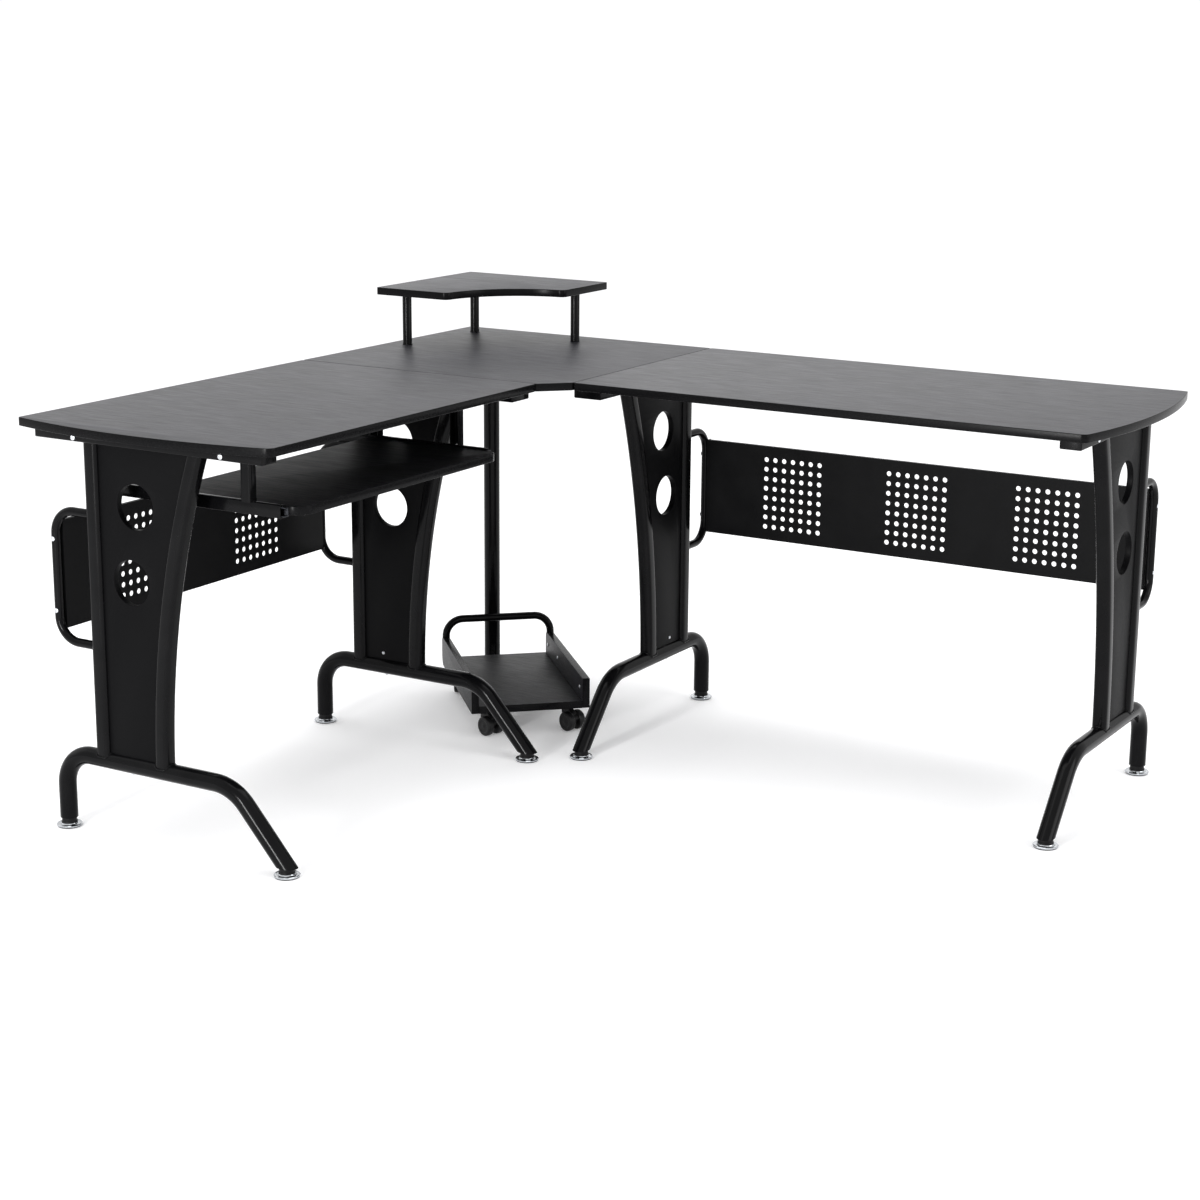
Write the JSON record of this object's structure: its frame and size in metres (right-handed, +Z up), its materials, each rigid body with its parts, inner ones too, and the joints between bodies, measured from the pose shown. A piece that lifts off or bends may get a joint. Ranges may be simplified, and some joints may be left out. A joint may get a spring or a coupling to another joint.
{
  "type": "computer desk with keyboard tray",
  "caption": "L-shaped computer desk with sliding keyboard tray, raised corner shelf, tubular steel legs, perforated back panels and a rolling tower stand.",
  "frame": {"origin": "centre of the whole desk's footprint, on the floor", "axes": "+X along the long right wing away from the corner; the left wing runs towards -Y; +Z up"},
  "size_m": [1.646, 1.43, 0.865],
  "materials": {
    "melamine_board": "black wood-grain melamine with a fine matt grain",
    "leg_panel_laminate": "smooth black laminate, satin",
    "powder_coated_steel": "black powder coat, satin",
    "perforated_sheet_steel": "black powder coat, satin",
    "chromed_pad": "polished chrome",
    "slide_steel": "dark zinc plate",
    "caster_plastic": "moulded black nylon"
  },
  "bodies": {
    "desk_frame": {"top_left_board": "melamine_board", "top_corner_board": "melamine_board", "top_right_board": "melamine_board", "shelf_board": "melamine_board", "shelf_post_corner": "powder_coated_steel", "shelf_post_left": "powder_coated_steel", "shelf_post_right": "powder_coated_steel", "left_end_foot_tube": "powder_coated_steel", "left_end_rear_upright": "powder_coated_steel", "left_end_front_upright": "powder_coated_steel", "left_end_leg_panel": "leg_panel_laminate", "left_end_crossbar": "powder_coated_steel", "left_end_side_bracket": "powder_coated_steel", "left_inner_foot_tube": "powder_coated_steel", "left_inner_rear_upright": "powder_coated_steel", "left_inner_front_upright": "powder_coated_steel", "left_inner_leg_panel": "leg_panel_laminate", "left_inner_crossbar": "powder_coated_steel", "left_inner_side_bracket": "powder_coated_steel", "right_inner_foot_tube": "powder_coated_steel", "right_inner_rear_upright": "powder_coated_steel", "right_inner_front_upright": "powder_coated_steel", "right_inner_leg_panel": "leg_panel_laminate", "right_inner_crossbar": "powder_coated_steel", "right_inner_side_bracket": "powder_coated_steel", "right_end_foot_tube": "powder_coated_steel", "right_end_rear_upright": "powder_coated_steel", "right_end_front_upright": "powder_coated_steel", "right_end_leg_panel": "leg_panel_laminate", "right_end_crossbar": "powder_coated_steel", "right_end_side_bracket": "powder_coated_steel", "left_back_panel": "perforated_sheet_steel", "right_back_panel": "perforated_sheet_steel", "tray_fixed_rail_near": "powder_coated_steel", "tray_fixed_rail_far": "powder_coated_steel", "corner_post": "powder_coated_steel"},
    "keyboard_tray": {"keyboard_tray": "melamine_board", "tray_runner_near": "slide_steel", "tray_runner_far": "slide_steel"},
    "tower_stand": {"stand_base": "melamine_board", "stand_side_left": "melamine_board", "stand_side_right": "melamine_board", "stand_handle": "powder_coated_steel"},
    "left_end_rear_foot": {"left_end_rear_levelling_foot": "chromed_pad"},
    "left_end_front_foot": {"left_end_front_levelling_foot": "chromed_pad"},
    "left_inner_rear_foot": {"left_inner_rear_levelling_foot": "chromed_pad"},
    "left_inner_front_foot": {"left_inner_front_levelling_foot": "chromed_pad"},
    "right_inner_rear_foot": {"right_inner_rear_levelling_foot": "chromed_pad"},
    "right_inner_front_foot": {"right_inner_front_levelling_foot": "chromed_pad"},
    "right_end_rear_foot": {"right_end_rear_levelling_foot": "chromed_pad"},
    "right_end_front_foot": {"right_end_front_levelling_foot": "chromed_pad"},
    "caster_body_front_left": {"caster_front_left": "caster_plastic"},
    "caster_wheels_front_left": {"caster_wheels_front_left": "caster_plastic"},
    "caster_body_front_right": {"caster_front_right": "caster_plastic"},
    "caster_wheels_front_right": {"caster_wheels_front_right": "caster_plastic"},
    "caster_body_back_left": {"caster_back_left": "caster_plastic"},
    "caster_wheels_back_left": {"caster_wheels_back_left": "caster_plastic"},
    "caster_body_back_right": {"caster_back_right": "caster_plastic"},
    "caster_wheels_back_right": {"caster_wheels_back_right": "caster_plastic"}
  },
  "joints": [
    {"name": "tray_slide", "type": "slide", "parent": "desk_frame", "child": "keyboard_tray", "axis": [1, 0, 0], "range_m": [-0.035, 0.16]},
    {"name": "stand_roll", "type": "slide", "parent": "desk_frame", "child": "tower_stand", "axis": [0.6871, -0.7266, 0], "range_m": [-0.035, 0.04]},
    {"name": "caster_front_left_swivel", "type": "hinge", "parent": "tower_stand", "child": "caster_body_front_left", "pos_m": [-0.46266, 0.22438, 0.058], "axis": [0, 0, 1], "continuous": true},
    {"name": "caster_front_left_spin", "type": "hinge", "parent": "caster_body_front_left", "child": "caster_wheels_front_left", "pos_m": [-0.4456, 0.21864, 0.02], "axis": [0.319, 0.9478, 0], "continuous": true},
    {"name": "caster_front_right_swivel", "type": "hinge", "parent": "tower_stand", "child": "caster_body_front_right", "pos_m": [-0.3406, 0.33981, 0.058], "axis": [0, 0, 1], "continuous": true},
    {"name": "caster_front_right_spin", "type": "hinge", "parent": "caster_body_front_right", "child": "caster_wheels_front_right", "pos_m": [-0.32354, 0.33407, 0.02], "axis": [0.319, 0.9478, 0], "continuous": true},
    {"name": "caster_back_left_swivel", "type": "hinge", "parent": "tower_stand", "child": "caster_body_back_left", "pos_m": [-0.65367, 0.42637, 0.058], "axis": [0, 0, 1], "continuous": true},
    {"name": "caster_back_left_spin", "type": "hinge", "parent": "caster_body_back_left", "child": "caster_wheels_back_left", "pos_m": [-0.66305, 0.44173, 0.02], "axis": [-0.8536, -0.521, 0], "continuous": true},
    {"name": "caster_back_right_swivel", "type": "hinge", "parent": "tower_stand", "child": "caster_body_back_right", "pos_m": [-0.53161, 0.5418, 0.058], "axis": [0, 0, 1], "continuous": true},
    {"name": "caster_back_right_spin", "type": "hinge", "parent": "caster_body_back_right", "child": "caster_wheels_back_right", "pos_m": [-0.54099, 0.55716, 0.02], "axis": [-0.8536, -0.521, 0], "continuous": true},
    {"name": "left_end_rear_foot_turn", "type": "hinge", "parent": "desk_frame", "child": "left_end_rear_foot", "pos_m": [-0.785, -0.642, 0.012], "axis": [0, 0, 1], "continuous": true},
    {"name": "left_end_front_foot_turn", "type": "hinge", "parent": "desk_frame", "child": "left_end_front_foot", "pos_m": [-0.293, -0.642, 0.012], "axis": [0, 0, 1], "continuous": true},
    {"name": "left_inner_rear_foot_turn", "type": "hinge", "parent": "desk_frame", "child": "left_inner_rear_foot", "pos_m": [-0.785, 0.115, 0.012], "axis": [0, 0, 1], "continuous": true},
    {"name": "left_inner_front_foot_turn", "type": "hinge", "parent": "desk_frame", "child": "left_inner_front_foot", "pos_m": [-0.293, 0.115, 0.012], "axis": [0, 0, 1], "continuous": true},
    {"name": "right_inner_rear_foot_turn", "type": "hinge", "parent": "desk_frame", "child": "right_inner_rear_foot", "pos_m": [-0.211, 0.677, 0.012], "axis": [0, 0, 1], "continuous": true},
    {"name": "right_inner_front_foot_turn", "type": "hinge", "parent": "desk_frame", "child": "right_inner_front_foot", "pos_m": [-0.211, 0.185, 0.012], "axis": [0, 0, 1], "continuous": true},
    {"name": "right_end_rear_foot_turn", "type": "hinge", "parent": "desk_frame", "child": "right_end_rear_foot", "pos_m": [0.75, 0.677, 0.012], "axis": [0, 0, 1], "continuous": true},
    {"name": "right_end_front_foot_turn", "type": "hinge", "parent": "desk_frame", "child": "right_end_front_foot", "pos_m": [0.75, 0.185, 0.012], "axis": [0, 0, 1], "continuous": true}
  ]
}
